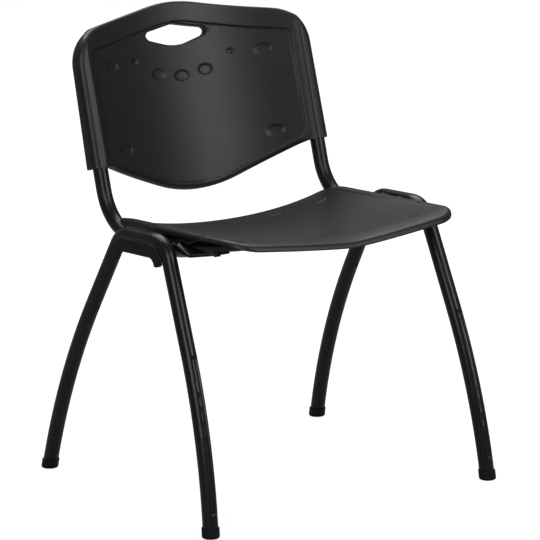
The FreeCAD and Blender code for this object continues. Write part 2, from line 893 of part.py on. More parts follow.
def back_outline():
    """The back's outline seen square on: level sleeve feet, a peaked top and a dipped lower edge."""
    corner_v = back_top_v - sleeve_outer_x(back_top_v) * tan(back_top_slope)
    right = [Vector(sleeve_outer_x(sleeve_foot_v), 0, sleeve_foot_v),
             Vector(sleeve_outer_x(corner_v), 0, corner_v)]
    inner = Vector(sleeve_inner_x(), 0, sleeve_foot_v)
    corners = right + [Vector(0, 0, back_top_v)]
    corners += [across(point) for point in reversed(right)]
    corners += [across(inner), Vector(0, 0, back_low_v), inner]
    return rounded_polygon(corners, [back_foot_round, back_corner_round, back_top_round,
                                     back_corner_round, back_foot_round, back_foot_round,
                                     back_low_round, back_foot_round])


def across(point):
    """The same point on the chair's other side."""
    return Vector(-point.x, point.y, point.z)


def square_prism(wire, near, far):
    """Push a wire of the x-v plane through the thickness from w = near to w = far."""
    face = Part.Face(wire)
    face.translate(Vector(0, near, 0))
    return face.extrude(Vector(0, far - near, 0))


def panel_cylinder(radius):
    """The round bar whose rear wall is the back panel's curve."""
    centre = back_panel_depth - back_panel_radius
    return Part.makeCylinder(radius, big, Vector(0, centre, -big / 2), Vector(0, 0, 1))


def sleeve_rear_at(v):
    """How far behind the upright's centre line the sleeve's rear lies."""
    share = (v - sleeve_foot_v) / (back_top_v - sleeve_foot_v)
    return sleeve_rear_depth - sleeve_rear_taper * share


def sleeve_section(v):
    """The sleeve's outline, square to the upright at height v."""
    share = (v - sleeve_foot_v) / (back_top_v - sleeve_foot_v)
    rear = sleeve_rear_at(v)
    rear_round = sleeve_rear_round + (sleeve_front_round - sleeve_rear_round) * share
    inner = sleeve_inner_x()
    outer = sleeve_outer_x(v)
    corners = [Vector(inner, -sleeve_front_depth, v), Vector(outer, -sleeve_front_depth, v),
               Vector(outer, rear, v), Vector(inner, rear, v)]
    return rounded_polygon(corners, [sleeve_front_round, sleeve_front_round, rear_round, rear_round])


def sleeve_bar():
    """A tapered bar along the upright, the outside of its sleeve."""
    return Part.makeLoft([sleeve_section(sleeve_foot_v), sleeve_section(back_top_v)], True, True)


def panel_window(span):
    """The room between the sleeves, for trimming what belongs to the panel."""
    return Part.makeBox(2 * span, big, big, Vector(-span, -2 * sleeve_front_depth, -big / 2))


def back_body():
    """Rim-thick curved panel and the two sleeves, inside the outline."""
    front = back_panel_radius - back_recess_step
    panel = panel_cylinder(back_panel_radius + back_wall).cut(panel_cylinder(front))
    panel = panel.common(panel_window(sleeve_inner_x() + sleeve_front_round))
    sleeve = sleeve_bar()
    body = panel.fuse([sleeve, mirrored(sleeve)])
    return body.common(square_prism(back_outline(), -big / 8, big / 8))


def behind_panel(depth):
    """The layer just behind the panel, to a depth, for what is moulded onto its rear."""
    outer = back_panel_radius + back_wall
    return panel_cylinder(outer + depth).cut(panel_cylinder(outer - back_wall / 2))


def edge_lip():
    """A lip turned rearward along the panel's top and lower edges."""
    outline = back_outline()
    ring = square_prism(outline, -big / 8, big / 8)
    ring = ring.cut(square_prism(outline.makeOffset2D(-back_lip_wall), -big / 4, big / 4))
    return ring.common(behind_panel(back_lip_depth)).common(panel_window(sleeve_inner_x() + 2))


def recess_tool():
    """What the front of the panel is lowered by, inside the rim."""
    side_v = recess_top_v - recess_half_width * tan(recess_top_slope)
    low_v = back_low_v - back_lip_depth
    right = [Vector(recess_half_width, 0, low_v), Vector(recess_half_width, 0, side_v)]
    corners = right + [Vector(0, 0, recess_top_v)] + [across(point) for point in reversed(right)]
    outline = rounded_polygon(corners, [0, recess_corner, recess_top_round, recess_corner, 0])
    return square_prism(outline, -big / 8, big / 8).common(panel_cylinder(back_panel_radius))


def hand_hole_outline():
    """An almond: a softly peaked top, round ends and a bowed lower edge."""
    end = hand_hole_end_radius
    centre_x = hand_hole_half_width - end
    slope = back_top_slope
    centre_v = hand_hole_rise - centre_x * tan(slope) - end / cos(slope)
    lift = centre_v + hand_hole_drop
    low_radius = (centre_x ** 2 + lift ** 2 - end ** 2) / (2 * (lift - end))
    centre = Vector(centre_x, 0, centre_v)
    low_centre = Vector(0, 0, low_radius - hand_hole_drop)
    shoulder = centre + Vector(sin(slope), 0, cos(slope)) * end
    tail = centre + (centre - low_centre).normalize() * end
    nose = centre + Vector(end, 0, 0)
    peak = Vector(0, 0, hand_hole_rise)
    outline = Part.Wire([Part.makeLine(across(shoulder), peak), Part.makeLine(peak, shoulder),
                         Part.Arc(shoulder, nose, tail).toShape(),
                         Part.Arc(tail, Vector(0, 0, -hand_hole_drop), across(tail)).toShape(),
                         Part.Arc(across(tail), across(nose), across(shoulder)).toShape()])
    outline.translate(Vector(0, 0, hand_hole_v))
    return outline


def hand_hole():
    return square_prism(hand_hole_outline(), -big / 8, big / 8)


def hand_hole_collar():
    """A collar behind the panel that makes the hole's edge thick enough to grip."""
    outline = hand_hole_outline().makeOffset2D(hand_hole_collar_wall)
    return square_prism(outline, -big / 8, big / 8).common(behind_panel(hand_hole_collar_depth))


def dimple(size, side):
    """A flat-bottomed oval recess in the panel's front face."""
    x, v, half_width, half_height = size
    depth_here = math.sqrt(back_panel_radius ** 2 - x ** 2) - back_panel_radius + back_panel_depth
    oval = Part.Ellipse(Vector(0, 0, 0), half_width, half_height).toShape()
    face = Part.Face(Part.Wire([oval]))
    tool = face.extrude(Vector(0, 0, 20))
    tool.rotate(Vector(0, 0, 0), Vector(1, 0, 0), 90)
    slope = math.degrees(math.asin(x / back_panel_radius))
    tool.translate(Vector(0, dimple_depth, 0))
    tool.rotate(Vector(0, 0, 0), Vector(0, 0, 1), -slope)
    tool.translate(Vector(x, depth_here, v))
    return mirrored(tool) if side < 0 else tool


def upright_pocket():
    radius = tube_radius + pocket_clearance
    length = pocket_depth
    return Part.makeCylinder(radius, length, Vector(rail_x, 0, 0), Vector(0, 0, 1))


def back_screw_places():
    return [low_back_screw_v, high_back_screw_v]


def back_screw_hole(v, radius):
    """A hole through the rear of a sleeve and the rear wall of the tube inside it."""
    rear = sleeve_rear_depth + back_screw_head_height
    hole = Part.makeCylinder(radius, rear - tube_radius / 2, Vector(rail_x, rear, v), Vector(0, -1, 0))
    return lean_back(hole)


def back_screw(v):
    under_head = Vector(rail_x, sleeve_rear_at(v), v)
    head = Part.makeCylinder(back_screw_head_radius, back_screw_head_height, under_head, Vector(0, 1, 0))
    length = sleeve_rear_at(v) - tube_radius / 2
    shank = Part.makeCylinder(back_screw_radius, length, under_head, Vector(0, -1, 0))
    return lean_back(head.fuse(shank))


def back_screws():
    screws = [back_screw(v) for v in back_screw_places()]
    return Part.makeCompound(screws + [mirrored(screw) for screw in screws])


def back_shell():
    shell = back_body().fuse([edge_lip(), hand_hole_collar()])
    shell = shell.cut(recess_tool())
    shell = shell.cut(hand_hole())
    for size in (corner_dimple, small_dimple, inner_dimple, lower_dimple):
        shell = shell.cut([dimple(size, 1), dimple(size, -1)])
    shell = shell.cut(dimple(middle_dimple, 1))
    pocket = upright_pocket()
    shell = lean_back(shell.cut([pocket, mirrored(pocket)]))
    for v in back_screw_places():
        hole = back_screw_hole(v, back_screw_radius)
        shell = shell.cut([hole, mirrored(hole)])
    return shell


# Assembly
def both_sides(pieces, name, shape):
    pieces["right_" + name] = shape
    pieces["left_" + name] = mirrored(shape)


def build():
    pieces = {}
    both_sides(pieces, "leg_loop", leg_loop())
    both_sides(pieces, "back_rail", back_rail())
    both_sides(pieces, "stacking_bumper", lean_loop(stacking_bumper()))
    both_sides(pieces, "front_glide", glide(-1))
    both_sides(pieces, "rear_glide", glide(1))
    both_sides(pieces, "front_bridge_plate", bridge_plate(front_bridge_y))
    both_sides(pieces, "rear_bridge_plate", bridge_plate(rear_bridge_y))
    both_sides(pieces, "front_seat_tab", seat_tab(front_seat_tab_y))
    both_sides(pieces, "rear_seat_tab", seat_tab(rear_seat_tab_y))
    pieces["front_cross_tube"] = cross_tube(front_cross_y)
    pieces["rear_cross_tube"] = cross_tube(rear_cross_y)
    pieces["seat_shell"] = seat_shell()
    pieces["back_shell"] = back_shell()
    rivet = lean_loop(bumper_rivet())
    pieces["bumper_rivets"] = Part.makeCompound([rivet, mirrored(rivet)])
    pieces["seat_screws"] = seat_screws()
    pieces["back_screws"] = back_screws()
    return pieces


def centre_depth(pieces):
    """Slide the chair so that its origin is under the middle of its overall depth."""
    front = pieces["right_front_glide"].optimalBoundingBox(False).YMin
    rear = pieces["back_shell"].optimalBoundingBox(False).YMax
    for shape in pieces.values():
        shape.translate(Vector(0, -(front + rear) / 2, 0))


pieces = build()
centre_depth(pieces)
os.makedirs("parts", exist_ok=True)
for name, shape in pieces.items():
    shape.exportStep("parts/" + name + ".step")
    print(name, len(shape.Solids), "solids", round(shape.Volume), "mm3", shape.isValid())
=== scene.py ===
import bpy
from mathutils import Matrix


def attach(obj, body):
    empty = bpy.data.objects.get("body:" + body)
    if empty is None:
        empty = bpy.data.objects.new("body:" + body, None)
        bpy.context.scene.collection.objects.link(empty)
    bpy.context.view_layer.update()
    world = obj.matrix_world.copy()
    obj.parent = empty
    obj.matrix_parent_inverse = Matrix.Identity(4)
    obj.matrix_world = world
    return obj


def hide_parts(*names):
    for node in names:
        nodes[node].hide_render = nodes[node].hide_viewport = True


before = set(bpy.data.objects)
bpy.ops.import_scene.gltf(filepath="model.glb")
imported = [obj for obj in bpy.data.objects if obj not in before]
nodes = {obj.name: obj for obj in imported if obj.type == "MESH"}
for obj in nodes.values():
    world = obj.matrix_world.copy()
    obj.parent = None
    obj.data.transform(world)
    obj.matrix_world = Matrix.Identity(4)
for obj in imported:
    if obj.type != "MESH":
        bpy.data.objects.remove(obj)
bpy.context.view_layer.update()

import cmath
import math
import bmesh
import bpy
import numpy as np
from mathutils import Matrix, Vector
from mathutils.geometry import delaunay_2d_cdt


# The steel frame: two leg loops, two back rails, two cross tubes and their welded plates and tabs.
# It is bent tube, powder coated black after welding, so the coat is smooth with a faint orange peel
# and rubbed a little where stacked chairs touch it.
coat_colour = (0.0042, 0.0040, 0.0044)
coat_worn = (0.0075, 0.0072, 0.0076)
coat_roughness = (0.27, 0.35)
coat_gloss = 0.42
black_tint = (1.0, 0.915, 1.0, 1.0)
rub_size = 0.05
rub_range = (0.45, 0.75)
peel_size = 0.0016
peel_depth = 0.00003


def new_finish(name):
    """A material with its node tree cleared, its shader and its object coordinates."""
    material = bpy.data.materials.new(name)
    material.use_nodes = True
    tree = material.node_tree
    shader = tree.nodes["Principled BSDF"]
    place = tree.nodes.new("ShaderNodeTexCoord")
    return material, tree, shader, place.outputs["Object"]


def noise(tree, place, size, detail):
    """Noise whose blotches are about size metres across."""
    node = tree.nodes.new("ShaderNodeTexNoise")
    tree.links.new(place, node.inputs["Vector"])
    node.inputs["Scale"].default_value = 1.0 / size
    node.inputs["Detail"].default_value = detail
    return node.outputs["Fac"]


def ramp(tree, value, low, high, out_low, out_high):
    """Takes low..high to out_low..out_high, clamped."""
    node = tree.nodes.new("ShaderNodeMapRange")
    tree.links.new(value, node.inputs["Value"])
    node.inputs["From Min"].default_value = low
    node.inputs["From Max"].default_value = high
    node.inputs["To Min"].default_value = out_low
    node.inputs["To Max"].default_value = out_high
    return node.outputs["Result"]


def blend_colour(tree, share, first, second):
    """The first colour where share is 0, the second where it is 1."""
    node = tree.nodes.new("ShaderNodeMix")
    node.data_type = "RGBA"
    tree.links.new(share, node.inputs["Factor"])
    node.inputs["A"].default_value = (*first, 1)
    node.inputs["B"].default_value = (*second, 1)
    return node.outputs["Result"]


def raise_grain(tree, shader, height, depth):
    """A bump of the given depth in metres on the shader."""
    node = tree.nodes.new("ShaderNodeBump")
    node.inputs["Distance"].default_value = depth
    tree.links.new(height, node.inputs["Height"])
    tree.links.new(node.outputs["Normal"], shader.inputs["Normal"])


def finish_nodes(endings, material):
    """Gives a material to each carried-over node whose name ends in one of the endings."""
    for name in nodes:
        if name.endswith(endings):
            for slot in nodes[name].material_slots:
                slot.material = material


powder_coat, tree, shader, place = new_finish("black_powder_coat")
rub = ramp(tree, noise(tree, place, rub_size, detail=5.0), *rub_range, 0.0, 1.0)
tree.links.new(blend_colour(tree, rub, coat_colour, coat_worn), shader.inputs["Base Color"])
tree.links.new(ramp(tree, rub, 0.0, 1.0, *coat_roughness), shader.inputs["Roughness"])
shader.inputs["Specular IOR Level"].default_value = coat_gloss
shader.inputs["Specular Tint"].default_value = black_tint
raise_grain(tree, shader, noise(tree, place, peel_size, detail=1.0), peel_depth)
finish_nodes(("leg_loop", "back_rail", "cross_tube", "bridge_plate", "seat_tab"), powder_coat)


# The seat and the back: injection-moulded black plastic with a fine leather-like moulding grain,
# satin on the broad faces and a little smoother where sitters have rubbed it.
shell_colour = (0.0078, 0.0070, 0.0078)
shell_scuffed = (0.0105, 0.0095, 0.0105)
shell_roughness = (0.42, 0.38)
shell_gloss = 0.5
cloud_size = 0.09
cloud_range = (0.38, 0.70)
grain_size = 0.0010
grain_depth = 0.00004

shell_plastic, tree, shader, place = new_finish("moulded_black_plastic")
cloud = ramp(tree, noise(tree, place, cloud_size, detail=5.0), *cloud_range, 0.0, 1.0)
tree.links.new(blend_colour(tree, cloud, shell_colour, shell_scuffed), shader.inputs["Base Color"])
tree.links.new(ramp(tree, cloud, 0.0, 1.0, *shell_roughness), shader.inputs["Roughness"])
shader.inputs["Specular IOR Level"].default_value = shell_gloss
shader.inputs["Specular Tint"].default_value = black_tint
raise_grain(tree, shader, noise(tree, place, grain_size, detail=2.0), grain_depth)

# Both mouldings are height fields over a flat plan: points are spread over the plan, closer where
# the form bends, and joined into triangles. Corners in a plan are complex numbers.
mould_step = 0.003
roll_rings = (0.0002, 0.0008, 0.0018, 0.0032, 0.0050, 0.0072, 0.0098)
ring_slack = 0.00015
weld_distance = 1e-7
mould_sharp = math.radians(50)
chair_shift_y = -0.036817


def rounded_outline(corners, radii):
    """Closely spaced points, counter-clockwise around a polygon whose corners are rounded."""
    points = []
    for index, corner in enumerate(corners):
        before = corners[index - 1] - corner
        after = corners[(index + 1) % len(corners)] - corner
        before, after = before / abs(before), after / abs(after)
        half = abs(cmath.phase(after / before)) / 2
        radius = radii[index]
        turn = math.copysign(math.pi - 2 * half, -(after / before).imag)
        middle = corner + (before + after) / abs(before + after) * radius / math.sin(half)
        spoke = corner + before * radius / math.tan(half) - middle
        count = max(2, math.ceil(abs(turn) * radius / mould_step))
        points += [middle + spoke * cmath.exp(1j * turn * part / count)
                   for part in range(count + 1)]
    spaced = []
    for index, point in enumerate(points):
        leap = points[(index + 1) % len(points)] - point
        count = math.ceil(abs(leap) / mould_step)
        spaced += [point + leap * part / count for part in range(count)]
    return np.array([(point.real, point.imag) for point in spaced])


def inside_by(points, loop):
    """How far each point lies inside a closed outline; it is negative outside."""
    nearest = np.full(len(points), np.inf)
    crossed = np.zeros(len(points), bool)
    for start, end in zip(loop, np.roll(loop, -1, axis=0)):
        leap = end - start
        off = points - start
        share = np.clip(off @ leap / (leap @ leap), 0, 1)
        gap = np.hypot(off[:, 0] - share * leap[0], off[:, 1] - share * leap[1])
        nearest = np.minimum(nearest, gap)
        if leap[1] != 0:
            spans = (start[1] > points[:, 1]) != (end[1] > points[:, 1])
            crossed ^= spans & (off[:, 0] < leap[0] * off[:, 1] / leap[1])
    return np.where(crossed, nearest, -nearest)


def ring_points(loop, distances):
    """Points on lines parallel to an outline, at distances inside it, or outside where negative."""
    along = np.roll(loop, -1, axis=0) - np.roll(loop, 1, axis=0)
    along = along / np.hypot(along[:, 0], along[:, 1])[:, None]
    inward = np.stack([-along[:, 1], along[:, 0]], axis=1)
    points = np.concatenate([loop + inward * distance for distance in distances])
    wanted = np.repeat(distances, len(loop))
    return points[np.abs(inside_by(points, loop) - wanted) < ring_slack]


def oval_points(x, y, half_width, half_height, grow):
    """Points around an oval that is grown by each of the given amounts."""
    turns = np.arange(0, 2 * math.pi, mould_step / max(half_width, half_height))
    rows = [np.stack([x + (half_width + more) * np.cos(turns),
                      y + (half_height + more) * np.sin(turns)], axis=1) for more in grow]
    return np.concatenate(rows)


def grid_points(loop, clear):
    """A square grid over an outline, kept clear of its edge."""
    low, high = loop.min(axis=0), loop.max(axis=0)
    across = np.arange(-high[0], high[0], mould_step)
    up = np.arange(low[1], high[1], mould_step)
    points = np.stack(np.meshgrid(across, up), axis=-1).reshape(-1, 2)
    return points[inside_by(points, loop) > clear]


def smooth(value, low, high):
    """0 up to low, 1 from high on, and an even S between them."""
    share = np.clip((value - low) / (high - low), 0, 1)
    return share * share * (3 - 2 * share)


def rolled(edge, radius):
    """How far a rounded edge has dropped away, at a distance in from it."""
    left = np.clip(radius - edge, 0, radius)
    return radius - np.sqrt(radius ** 2 - left ** 2)


def blended_low(first, second, reach):
    """The lower of two heights, with the crease between them rounded."""
    close = np.clip(reach - np.abs(first - second), 0, None)
    return np.minimum(first, second) - close * close / (4 * reach)


def moulding(name, loops, spots, near, far, place):
    """A closed moulding over a plan between a near and a far face.

    The first loop is its outline and the others are holes.
    """
    points = np.concatenate([*loops, *spots])
    edges, start = [], 0
    for loop in loops:
        last = start + len(loop)
        edges += [(index, index + 1 if index + 1 < last else start)
                  for index in range(start, last)]
        start = last
    made = delaunay_2d_cdt([Vector(point) for point in points], edges, [], 0, weld_distance)
    plan = np.array([tuple(point) for point in made[0]])
    faces = np.array(made[2])
    middle = plan[faces].mean(axis=1)
    kept = inside_by(middle, loops[0]) > 0
    for hole in loops[1:]:
        kept &= inside_by(middle, hole) < 0
    faces = faces[kept]
    used, faces = np.unique(faces, return_inverse=True)
    faces = faces.reshape(-1, 3)
    plan = plan[used]
    count = len(plan)
    sides = np.concatenate([faces[:, [0, 1]], faces[:, [1, 2]], faces[:, [2, 0]]])
    paired = {(b, a) for a, b in sides.tolist()}
    rims = [(a, b) for a, b in sides.tolist() if (a, b) not in paired]
    skin = faces.tolist() + (faces[:, ::-1] + count).tolist()
    skin += [(b, a, a + count, b + count) for a, b in rims]
    verts = np.concatenate([place(plan, near(plan)), place(plan, far(plan))])
    mesh = bpy.data.meshes.new(name)
    mesh.from_pydata(verts.tolist(), [], skin)
    form = bmesh.new()
    form.from_mesh(mesh)
    bmesh.ops.recalc_face_normals(form, faces=form.faces)
    form.to_mesh(mesh)
    form.free()
    mesh.polygons.foreach_set("use_smooth", [True] * len(mesh.polygons))
    mesh.set_sharp_from_angle(angle=mould_sharp)
    mesh.materials.append(shell_plastic)
    piece = bpy.data.objects.new(name, mesh)
    bpy.context.scene.collection.objects.link(piece)
    return piece


# The back: one moulding, a curved panel that blends into a sleeve on each side, with a rolled lower
# edge, a recess inside a narrow rim, a hand hole with a collar, and nine shallow oval dimples. It
# stands on the two uprights, so it is laid out square to them and then leaned. The sleeves are
# drawn filled, and the uprights run into them.
back_lean = math.radians(16.5)
back_origin = Vector((0, 0.17054 + chair_shift_y, 0.49116))
panel_radius = 0.420
panel_depth = 0.0485
panel_wall = 0.0045
recess_step = 0.0022
sleeve_inner_x = 0.2044
sleeve_outer_x = 0.2395
sleeve_taper = 0.0035
sleeve_foot_v = 0.0375
sleeve_front = 0.015
sleeve_front_round = 0.0125
sleeve_rear = 0.0174
sleeve_rear_taper = 0.0024
sleeve_rear_round = 0.005
sleeve_flank_x = 0.2155
sleeve_blend = 0.003
sleeve_foot_round = 0.003
sleeve_heel_round = 0.003
back_top_v = 0.3125
back_top_slope = math.tan(math.radians(12.1))
back_top_round = 0.220
back_corner_round = 0.067
back_middle_v = 0.15
back_low_v = -0.0297
back_low_round = 0.250
top_roll = 0.004
top_roll_range = (0.165, 0.215)
low_roll = 0.0095
low_roll_least = 0.001
low_roll_range = (0.185, 0.204)
lip_depth = 0.008
lip_wall = 0.0035
lip_soft = 0.0005
recess_x = 0.201
recess_top_v = 0.2773
recess_slope = math.tan(math.radians(12.4))
recess_rim = 0.0115
recess_foot_round = 0.014
recess_corner_round = 0.011
recess_top_round = 0.170
recess_low_round = 0.240
recess_edge = (-0.0004, 0.0014)
recess_rings = (-0.0006, 0.0, 0.0006, 0.0014)
hole_v = 0.2497
hole_half_width = 0.060
hole_rise = 0.020
hole_margin = 0.001
hole_side_drop = 0.011
hole_side_round = 0.011
hole_shoulder_round = 0.0085
hole_top_round = 0.004
hole_low_round = 0.100
hole_roll = 0.003
hole_clear = 0.006
hole_rings = (-0.0002, -0.0008, -0.0016, -0.0028, -0.0038)
collar_depth = 0.009
collar_wall = 0.003
collar_edge = (-0.0003, 0.0007)
fold_range = (0.045, 0.255)
fold_count = 60
fold_gaps = (-0.0003, 0.0003, 0.0012, 0.0030)
dimple_depth = 0.0019
dimple_rings = (-0.0042, -0.0028, -0.0014, -0.0004, 0.0006)
corner_dimple = (0.154, 0.206, 0.0165, 0.0105)
small_dimple = (0.097, 0.210, 0.008, 0.006)
inner_dimple = (0.0473, 0.185, 0.015, 0.0105)
lower_dimple = (0.1526, 0.063, 0.017, 0.0105)
middle_dimple = (0.0, 0.179, 0.0165, 0.0105)
dimples = [(side * x, v, wide, high) for side in (-1, 1)
           for x, v, wide, high in (corner_dimple, small_dimple, inner_dimple, lower_dimple)]
dimples.append(middle_dimple)


def both_ways(right, top, bottom):
    """Corners counter-clockwise: the right-hand ones upward, the top, the left ones, the bottom."""
    left = [complex(-point.real, point.imag) for point in reversed(right)]
    return right + [complex(0, top)] + left + [complex(0, bottom)]


def sleeve_share(v):
    """How far up the sleeve a height lies, from 0 at its foot to 1 at the back's top."""
    return (v - sleeve_foot_v) / (back_top_v - sleeve_foot_v)


corner_x = sleeve_outer_x - sleeve_taper
corner_v = back_top_v - corner_x * back_top_slope
back_loop = rounded_outline(
    both_ways([complex(sleeve_inner_x, sleeve_foot_v), complex(sleeve_outer_x, sleeve_foot_v),
               complex(sleeve_outer_x - sleeve_taper * sleeve_share(corner_v), corner_v)],
              back_top_v, back_low_v),
    [sleeve_foot_round, sleeve_foot_round, back_corner_round, back_top_round,
     back_corner_round, sleeve_foot_round, sleeve_foot_round, back_low_round])
low_slope = (sleeve_foot_v - back_low_v) / sleeve_inner_x
recess_loop = rounded_outline(
    both_ways([complex(recess_x, back_low_v + recess_x * low_slope + recess_rim),
               complex(recess_x, recess_top_v - recess_x * recess_slope)],
              recess_top_v, back_low_v + recess_rim),
    [recess_foot_round, recess_corner_round, recess_top_round,
     recess_corner_round, recess_foot_round, recess_low_round])
hole_corner = hole_rise - hole_half_width * back_top_slope
hole_loop = rounded_outline(
    both_ways([complex(hole_half_width + hole_margin, hole_v + hole_corner - hole_side_drop),
               complex(hole_half_width + hole_margin, hole_v + hole_corner + hole_margin)],
              hole_v + hole_rise, hole_v - hole_rise - hole_margin),
    [hole_side_round, hole_shoulder_round, hole_top_round,
     hole_shoulder_round, hole_side_round, hole_low_round])


def back_front(plan):
    """How far the front face lies behind the upright's centre line."""
    x, v = np.abs(plan[:, 0]), plan[:, 1]
    edge = np.clip(inside_by(plan, back_loop), 0, None)
    side = np.clip(sleeve_outer_x - sleeve_taper * sleeve_share(v) - x, 0, None)
    centre = panel_depth - panel_radius
    held = np.minimum(x, sleeve_flank_x)
    panel = centre + np.sqrt((panel_radius - recess_step) ** 2 - held ** 2)
    sleeve = -sleeve_front + np.clip(sleeve_flank_x - x, 0, None)
    front = blended_low(panel, sleeve, sleeve_blend)
    upper = rolled(edge, top_roll + (sleeve_front_round - top_roll) * smooth(x, *top_roll_range))
    lower = rolled(edge, low_roll - (low_roll - low_roll_least) * smooth(x, *low_roll_range))
    lower = np.where(x > sleeve_inner_x, rolled(side, sleeve_front_round), lower)
    front = front + np.where(v > back_middle_v, upper, lower)
    front = front + recess_step * smooth(inside_by(plan, recess_loop), *recess_edge)
    for x0, v0, wide, high in dimples:
        ring = (np.hypot((plan[:, 0] - x0) / wide, (v - v0) / high) - 1) * high
        front = front + dimple_depth * (1 - smooth(ring, dimple_rings[0], dimple_rings[-1]))
    return front + rolled(np.clip(-inside_by(plan, hole_loop), 0, None), hole_roll)


def back_rear(plan):
    """How far the rear face, with its lip, collar and sleeves, lies behind that line."""
    x, v = np.abs(plan[:, 0]), plan[:, 1]
    edge = np.clip(inside_by(plan, back_loop), 0, None)
    hole = np.clip(-inside_by(plan, hole_loop), 0, None)
    share = np.clip(sleeve_share(v), 0, 1)
    side = np.clip(sleeve_outer_x - sleeve_taper * sleeve_share(v) - x, 0, None)
    side = np.where(v > back_middle_v, np.minimum(side, edge), side)
    held = np.minimum(x, sleeve_inner_x)
    panel = panel_depth - panel_radius + np.sqrt((panel_radius + panel_wall) ** 2 - held ** 2)
    lip = lip_depth * (1 - smooth(edge, lip_wall - lip_soft, lip_wall + lip_soft))
    collar_inner, collar_outer = (collar_wall + gap for gap in collar_edge)
    collar = collar_depth * (1 - smooth(hole, collar_inner, collar_outer))
    sleeve_round = sleeve_rear_round + (sleeve_front_round - sleeve_rear_round) * share
    sleeve = sleeve_rear - sleeve_rear_taper * share - rolled(side, sleeve_round)
    sleeve = sleeve - rolled(np.clip(x - sleeve_inner_x, 0, None), sleeve_heel_round)
    return np.where(x > sleeve_inner_x, sleeve, panel + np.maximum(lip, collar))


def stand_back(plan, depth):
    """From the plan square to the uprights, with depth behind them, to the leaned back."""
    x, v = plan[:, 0], plan[:, 1]
    y = back_origin.y + depth * math.cos(back_lean) + v * math.sin(back_lean)
    z = back_origin.z - depth * math.sin(back_lean) + v * math.cos(back_lean)
    return np.stack([x, y, z], axis=1)


fold_lines = [np.stack([np.full(fold_count, side * (sleeve_inner_x + gap)),
                        np.linspace(*fold_range, fold_count)], axis=1)
              for side in (-1, 1) for gap in fold_gaps]
grid = grid_points(back_loop, roll_rings[-1] + mould_step / 2)
grid = grid[inside_by(grid, hole_loop) < -hole_clear]
back_spots = [grid, ring_points(back_loop, roll_rings), ring_points(recess_loop, recess_rings),
              ring_points(hole_loop, hole_rings)]
back_spots += fold_lines + [oval_points(*dimple, dimple_rings) for dimple in dimples]
back = moulding("back_moulding", [back_loop, hole_loop], back_spots,
                back_front, back_rear, stand_back)
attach(back, "root")
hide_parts("back_shell")


# The seat: one moulding, dished at the rear and a soft vee at the front, with a raised ledge along
# both sides that a fine groove sets off, edges rolled down all round into a flange, slots that run
# out over the side edges, and two rows of shallow slots in its face.
seat_half_width = 0.226
seat_rear_y = 0.146
seat_front_y = -0.228
seat_front_bulge = 0.006
seat_front_corner = 0.050
seat_rear_corner = 0.038
seat_wall = 0.0045
seat_edge_round = 0.0085
seat_side_z = 0.4626
seat_side_pitch = math.tan(math.radians(2.9))
seat_centre_z = 0.420
seat_centre_rise = 0.030
seat_rise_power = 1.6
seat_low_y = 0.086
bowl_square = 0.67
bowl_fourth = 0.33
roll_start = 0.045
roll_drop = 0.007
rear_drop = 0.006
rear_roll_start = 0.056
ledge_x = 0.205
ledge_tilt = 0.004
ledge_soft = 0.2
crease = 0.03
vee_start_y = -0.060
vee_round = 0.1
flange_rear = 0.0155
flange_front = 0.0082
flange_soft = 0.001
groove_depth = 0.0020
groove_half = 0.0024
groove_flat = 0.0002
groove_fade = (-0.19, -0.12)
groove_range = (-0.19, 0.136)
groove_count = 110
groove_gaps = (-groove_half, -0.0005, 0.0, 0.0005, groove_half)
slot_depth = 0.0025
slot_length = 0.027
slot_width = 0.006
slot_rings = (-0.0010, -0.0004, 0.0, 0.0004)
slot_clear = 0.0004
side_slot_x = 0.223
side_slot_places = (0.020, -0.125)
side_slot_turn = -35.0
rear_slot_pitch = 0.082
rear_slot_y = 0.108
rear_slot_bow = 0.020
front_slot_pitch = 0.158
front_slot_y = -0.140
front_slot_bow = 0.044
slots = [(side * side_slot_x, y, side * side_slot_turn)
         for side in (-1, 1) for y in side_slot_places]
slots += [(place * rear_slot_pitch, rear_slot_y - rear_slot_bow * (place / 2) ** 2, 0.0)
          for place in (-2, -1, 0, 1, 2)]
slots += [(place * front_slot_pitch, front_slot_y - front_slot_bow * place ** 2, 0.0)
          for place in (-1, 0, 1)]


def seat_plan():
    """The seat's outline, with a gently bulging front edge."""
    front_x = seat_half_width - seat_front_corner
    bow = (front_x ** 2 + seat_front_bulge ** 2) / (2 * seat_front_bulge)
    half_turn = math.asin(front_x / bow)
    count = math.ceil(2 * front_x / mould_step)
    middle = complex(0, seat_front_y - seat_front_bulge + bow)
    nose = [middle + bow * cmath.exp(1j * (-math.pi / 2 + half_turn * (2 * part / count - 1)))
            for part in range(count + 1)]
    nose = np.array([(point.real, point.imag) for point in nose])
    square = rounded_outline(
        [complex(seat_half_width, seat_front_y), complex(seat_half_width, seat_rear_y),
         complex(-seat_half_width, seat_rear_y), complex(-seat_half_width, seat_front_y)],
        [seat_front_corner, seat_rear_corner, seat_rear_corner, seat_front_corner])
    behind_nose = square[:, 1] > seat_front_y + seat_front_bulge + mould_step
    rest = square[(np.abs(square[:, 0]) > front_x) | behind_nose]
    turn = np.arctan2(rest[:, 1], rest[:, 0])
    rest = rest[np.argsort((turn + math.pi / 2) % (2 * math.pi))]
    return np.concatenate([nose, rest])


